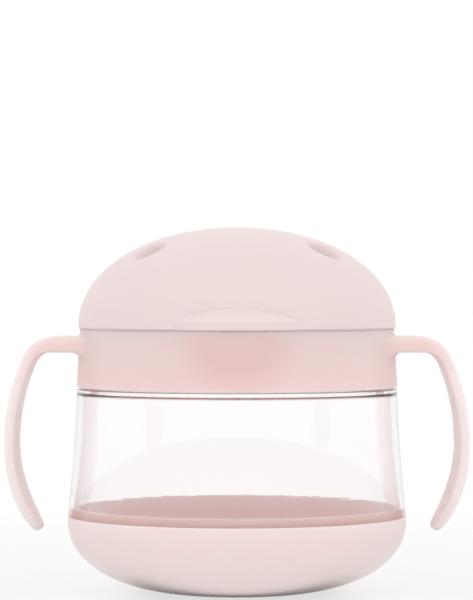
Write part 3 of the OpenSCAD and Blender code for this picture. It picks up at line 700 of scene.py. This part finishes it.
# ------------------------------------------------------------------- Lid
# The lid is a hollow polypropylene dome with a web across its edge and a short plug below it.
# It has a thumb tab in front, two shallow finger dimples, and a knuckle at the back.
LID_Z = 72.1
DOME_H = 27.1
DOME_R = 43.2
DOME_WALL = 2.0
DOME_POWER = 2.08
DOME_EDGE = 0.3
WEB_T = 1.6
BEAD_R = 42.95
BEAD_H = 0.37
BEAD_W = 1.6
BEAD_SLOPE = 0.4
PLUG_R = 33.2
PLUG_IN_R = 31.6
PLUG_H = 3.1
GROOVE_D = 0.7
GROOVE_LOW = 0.6
GROOVE_H = 1.4
TAB_H = 5.5
TAB_EDGE = 2.6
TAB_ROUND = 2.0
TAB_SUNK = 1.5
HOLLOW_SUNK = 0.4
KNUCKLE_WEB_H = 6.0
DIMPLE_HALF = 5.3
DIMPLE_WITHIN = 4.0
DIMPLE_SIDE = 0.7
DIMPLE_DEPTH = 2.8
DIMPLE_TURN = 56.1
DIMPLE_OUT = 28.3
LID_PINK = "#F3DEDD"
# Painted shade in the dimples' hollows: a deeper pink round a middle sunk below each floor
DIMPLE_PAINTED_SHADE = "#E3CECD"
DIMPLE_SHADE_R = 6.5
LID_ROUGHNESS = 0.38


def dome_quarter(radius, height, steps):
    """Points (r, z) of the dome from its edge up to the axis."""
    quarter = [math.pi / 2 * k / steps for k in range(steps + 1)]
    return [(radius * max(0.0, math.cos(a)) ** (2 / DOME_POWER),
             LID_Z + height * math.sin(a) ** (2 / DOME_POWER)) for a in quarter]


def dome_rise(radius):
    """Height of the dome's outside above the lid's lower edge at a radius."""
    return DOME_H * (1 - (radius / DOME_R) ** DOME_POWER) ** (1 / DOME_POWER)


outer = [p for p in dome_quarter(DOME_R, DOME_H, 96) if p[1] > LID_Z + 1.6 * DOME_EDGE][:-1]
inner = [p for p in dome_quarter(DOME_R - DOME_WALL, DOME_H - DOME_WALL, 48)
         if p[1] > LID_Z + WEB_T + 0.3][:-1]
web_in_r = (DOME_R - DOME_WALL) * (1 - (WEB_T / (DOME_H - DOME_WALL)) ** DOME_POWER) ** (1 / DOME_POWER)
plug_z = LID_Z - PLUG_H
groove_z = plug_z + GROOVE_LOW
lid_outline = rounded(
    [(0, LID_Z + DOME_H)] + outer[::-1]
    + [(DOME_R, LID_Z, DOME_EDGE), (BEAD_R, LID_Z, 0.1), (BEAD_R - 0.15, LID_Z - BEAD_H, 0.1),
       (BEAD_R - BEAD_W + BEAD_SLOPE, LID_Z - BEAD_H, 0.2), (BEAD_R - BEAD_W, LID_Z, 0.2),
       (PLUG_R, LID_Z, 0.3), (PLUG_R, groove_z + GROOVE_H, 0.1), (PLUG_R - GROOVE_D, groove_z + GROOVE_H),
       (PLUG_R - GROOVE_D, groove_z), (PLUG_R, groove_z, 0.1), (PLUG_R, plug_z, 0.3),
       (PLUG_IN_R, plug_z, 0.3), (PLUG_IN_R, LID_Z + WEB_T, 0.3), (web_in_r, LID_Z + WEB_T, 0.4)]
    + inner + [(0, LID_Z + DOME_H - DOME_WALL)])
lid_shell = turned(lid_outline, 320)
dimple_shade_patches = []
for side in (-1, 1):
    turn = math.radians(side * DIMPLE_TURN)
    centre = Vector((DIMPLE_OUT * math.sin(turn), -DIMPLE_OUT * math.cos(turn),
                     LID_Z + dome_rise(DIMPLE_OUT)))
    slope = Vector((math.sin(turn) * (DIMPLE_OUT / DOME_R) ** (DOME_POWER - 1) / DOME_R,
                    -math.cos(turn) * (DIMPLE_OUT / DOME_R) ** (DOME_POWER - 1) / DOME_R,
                    (dome_rise(DIMPLE_OUT) / DOME_H) ** (DOME_POWER - 1) / DOME_H)).normalized()
    # Painted shade centred below the dimple's floor, so that it reaches only the hollow
    dimple_shade_patches.append((*(centre - slope * DIMPLE_DEPTH), DIMPLE_SHADE_R, DIMPLE_PAINTED_SHADE))
    for vertex in lid_shell.verts:
        away = vertex.co / MM - centre
        if abs(away.dot(slope)) > DIMPLE_WITHIN:
            continue
        flat = (away - slope * away.dot(slope)).length
        # A dish with a level middle, a steep side and a small round at its rim
        if flat < DIMPLE_HALF:
            share = min(1.0, (1 - flat / DIMPLE_HALF) / DIMPLE_SIDE)
            vertex.co -= slope * DIMPLE_DEPTH * math.sin(math.pi / 2 * share) ** 1.5 * MM

# Thumb tab: a low round ledge about an axis of its own, rising to a crease on the dome
crease_r = DOME_R * (1 - (TAB_H / DOME_H) ** DOME_POWER) ** (1 / DOME_POWER) - TAB_Y
tab_slope = (TAB_H - TAB_EDGE) / (TAB_R - crease_r)
tab_run = TAB_R - crease_r + TAB_SUNK
tab_shell = turned(rounded([(0, LID_Z - BEAD_H), (TAB_R - 0.15, LID_Z - BEAD_H, 0.1),
                            (TAB_R, LID_Z + 0.1, 0.2), (TAB_R, LID_Z + TAB_EDGE, TAB_ROUND),
                            (TAB_R - tab_run, LID_Z + TAB_EDGE + tab_run * tab_slope),
                            (0, LID_Z + TAB_EDGE + tab_run * tab_slope)], 9), 240)
bmesh.ops.translate(tab_shell, verts=tab_shell.verts, vec=(0, -TAB_Y * MM, 0))
# The tab's disc ends within the dome's wall, so that it doesn't show inside
hollow_r = DOME_R - DOME_WALL + HOLLOW_SUNK
hollow_h = DOME_H - DOME_WALL + HOLLOW_SUNK
hollow = turned([(0, LID_Z - 5), (hollow_r, LID_Z - 5)] + dome_quarter(hollow_r, hollow_h, 40)[:-1]
                + [(0, LID_Z + hollow_h)], 240)
tab_shell = combined(tab_shell, hollow, "DIFFERENCE")
lid_shell = combined(lid_shell, tab_shell)

# Knuckle: a rounded block on a short web from the dome's back
web_end_r = DOME_R * (1 - (KNUCKLE_WEB_H / DOME_H) ** DOME_POWER) ** (1 / DOME_POWER) - 0.4
knuckle_outline = ([(DOME_R - 1.4, LID_Z + 0.01), (HINGE_Y - 2.6, LID_Z + 0.01)]
                   + knuckle_arc(-140, 108, 28)
                   + [(web_end_r, LID_Z + KNUCKLE_WEB_H), (DOME_R - 2.4, LID_Z + KNUCKLE_WEB_H - 1)])
knuckle = plate(knuckle_outline, -KNUCKLE_HALF, KNUCKLE_HALF, KNUCKLE_ROUND)
lid_shell = combined(lid_shell, knuckle)
lid_shell = combined(lid_shell, round_bar(PIN_HOLE_R, -BORE_HALF, BORE_HALF), "DIFFERENCE")
lid_skin = polypropylene("lid_moulded_polypropylene", LID_PINK, LID_ROUGHNESS, patches=dimple_shade_patches)
finished("domed_lid", lid_shell, lid_skin, "lid", "pink_plastic", "lid", crease=32)

# ---------------------------------------------------------- Lid's rubber
# A soft rubber ring sits in the plug's groove and wipes the collar's mouth when the lid shuts.
SEAL_Z = 69.65
SEAL_H = 1.3
SEAL_IN_R = 32.55
SEAL_R = 34.5
SEAL_LIP = 0.5
seal_shell = turned(rounded(
    [(SEAL_IN_R, SEAL_Z, 0.1), (SEAL_R - SEAL_LIP, SEAL_Z, 0.3), (SEAL_R, SEAL_Z + SEAL_H / 2, SEAL_LIP),
     (SEAL_R - SEAL_LIP, SEAL_Z + SEAL_H, 0.3), (SEAL_IN_R, SEAL_Z + SEAL_H, 0.1)]), 192)

# Seal rubber is matt and dense, with a dusty skin.
rubber = new_material("moulded_seal_rubber")
place = add(rubber, "TexCoord")
# Dusty specks are about 0.8 mm across
dust = add(rubber, "TexNoise", [("Scale", 1200.0), ("Detail", 3.0)], [("Vector", place, "Object")])
dust_tone = add(rubber, "Mix", [(6, linear("#E3C6C5")), (7, linear("#EAD2D1"))], [(0, dust, 0)],
                data_type="RGBA")
dust_gloss = add(rubber, "MapRange", [("To Min", 0.55), ("To Max", 0.75)], [("Value", dust, 0)])
dust_bump = add(rubber, "Bump", [("Strength", 0.2), ("Distance", 0.00002)], [("Height", dust, 0)])
rubber_shader = add(rubber, "BsdfPrincipled", [("IOR", 1.5)],
                    [("Base Color", dust_tone, 2), ("Roughness", dust_gloss, 0), ("Normal", dust_bump, 0)])
add(rubber, "OutputMaterial", (), [("Surface", rubber_shader, 0)])
finished("lid_seal_ring", seal_shell, rubber, "lid", "seal_rubber", "lid_seal")

# ---------------------------------------------------- Floor, light, view
# A pale matt table that fades into white, a broad soft light overhead and in front, and a long
# lens a little above the lid's edge.
FLOOR_R = 0.6
FLOOR_DROP = 0.0001
FADE_R = 0.32
FLOOR_LIFT = 0.7
ROOM_LIGHT = 0.86
floor_shell = bmesh.new()
bmesh.ops.create_circle(floor_shell, cap_ends=True, segments=96, radius=FLOOR_R,
                        matrix=Matrix.Translation((0, 0, -FLOOR_DROP)))
floor_mesh = bpy.data.meshes.new("table")
floor_shell.to_mesh(floor_mesh)
floor_shell.free()
floor = bpy.data.objects.new("table", floor_mesh)
bpy.context.scene.collection.objects.link(floor)

# Matt painted board, white enough to fade into the background towards its rim.
board = new_material("matt_painted_board")
place = add(board, "TexCoord")
centred = add(board, "Mapping", [("Scale", (1 / FADE_R, 1 / FADE_R, 1.0))], [("Vector", place, "Object")])
fade = add(board, "TexGradient", (), [("Vector", centred, 0)], gradient_type="SPHERICAL")
edge = add(board, "MapRange", [("From Max", 0.6)], [("Value", fade, 1)], interpolation_type="SMOOTHSTEP")
speck = add(board, "TexNoise", [("Scale", 900.0)], [("Vector", place, "Object")])
paint = add(board, "Mix", [(6, linear("#F4F4F4")), (7, linear("#F8F8F8"))], [(0, speck, 0)], data_type="RGBA")
matt_paint = add(board, "BsdfDiffuse", (), [("Color", paint, 2)])
# To the eye alone the board is a little brighter, so that it meets the white behind it
ray = add(board, "LightPath")
seen = add(board, "Math", (), [(0, ray, "Is Camera Ray"), (1, ray, "Is Transmission Ray")],
           operation="MAXIMUM")
lift = add(board, "Emission", [("Color", linear("#FFFFFF"))], [("Strength", seen, 0)])
lifted_paint = add(board, "MixShader", [(0, FLOOR_LIFT)], [(1, matt_paint, 0), (2, lift, 0)])
open_air = add(board, "BsdfTransparent")
board_mix = add(board, "MixShader", (), [(0, edge, 0), (1, open_air, 0), (2, lifted_paint, 0)])
add(board, "OutputMaterial", (), [("Surface", board_mix, 0)])
floor_mesh.materials.append(board)

world = bpy.data.worlds.new("white_room")
bpy.context.scene.world = world
world.use_nodes = True
world.node_tree.nodes.clear()
ray = add(world, "LightPath")
seen = add(world, "Math", (), [(0, ray, "Is Camera Ray"), (1, ray, "Is Glossy Ray")], operation="MAXIMUM")
seen_through = add(world, "Math", (), [(0, seen, 0), (1, ray, "Is Transmission Ray")], operation="MAXIMUM")
room = add(world, "Background", [("Color", linear("#FFFFFF")), ("Strength", ROOM_LIGHT)])
white = add(world, "Background", [("Color", linear("#FFFFFF")), ("Strength", 1.0)])
world_mix = add(world, "MixShader", (), [(0, seen_through, 0), (1, room, 0), (2, white, 0)])
add(world, "OutputWorld", (), [("Surface", world_mix, 0)])


def soft_box(name, place, target, width, height, power):
    """A soft light at a place, turned to its target, sizes in metres and power in watts."""
    data = bpy.data.lights.new(name, "AREA")
    data.shape = "RECTANGLE"
    data.size = width
    data.size_y = height
    data.energy = power
    lamp = bpy.data.objects.new(name, data)
    lamp.location = place
    lamp.rotation_euler = (Vector(target) - Vector(place)).to_track_quat("-Z", "Y").to_euler()
    bpy.context.scene.collection.objects.link(lamp)
    lamp.visible_camera = False
    lamp.visible_glossy = False
    lamp.visible_transmission = False
    return lamp


soft_box("overhead", (0.0, -0.25, 0.9), (0, 0, 0.05), 0.8, 0.8, 1.0)
soft_box("front", (0.0, -1.1, 0.07), (0, 0, 0.02), 0.6, 0.6, 0.6)
# The board is lit from within, as a product table is, so that the handles and the bowl's side aren't
# dark from below. Right under the bowl it stays in shade.
TABLE_HALF = 0.25
SHADE_HALF = 0.0285
# Watts for each square metre of the board
TABLE_WATTS = 1.95
TABLE_LIGHT_Z = 0.0002
strip_w = TABLE_HALF - SHADE_HALF
away = (TABLE_HALF + SHADE_HALF) / 2
long_strip = (strip_w, 2 * TABLE_HALF)
short_strip = (2 * SHADE_HALF, strip_w)
for name, x, y, (width, height) in (("left", -away, 0, long_strip), ("right", away, 0, long_strip),
                                    ("near", 0, -away, short_strip), ("far", 0, away, short_strip)):
    strip = soft_box("table_light_" + name, (x, y, TABLE_LIGHT_Z), (x, y, 1), width, height,
                     TABLE_WATTS * width * height)
    strip.rotation_euler = (math.pi, 0, 0)

CAMERA_DISTANCE = 0.790
CAMERA_Z = 0.08225
CAMERA_X = -0.00014
AIM_Z = 0.0795
LENS = 174.0
SENSOR = 36.0
camera_data = bpy.data.cameras.new("camera")
camera_data.lens = LENS
camera_data.sensor_width = SENSOR
camera = bpy.data.objects.new("camera", camera_data)
camera.location = (CAMERA_X, -CAMERA_DISTANCE, CAMERA_Z)
aim = Vector((CAMERA_X, 0, AIM_Z)) - camera.location
camera.rotation_euler = aim.to_track_quat("-Z", "Y").to_euler()
bpy.context.scene.collection.objects.link(camera)
bpy.context.scene.camera = camera
bpy.context.scene.view_settings.view_transform = "Standard"
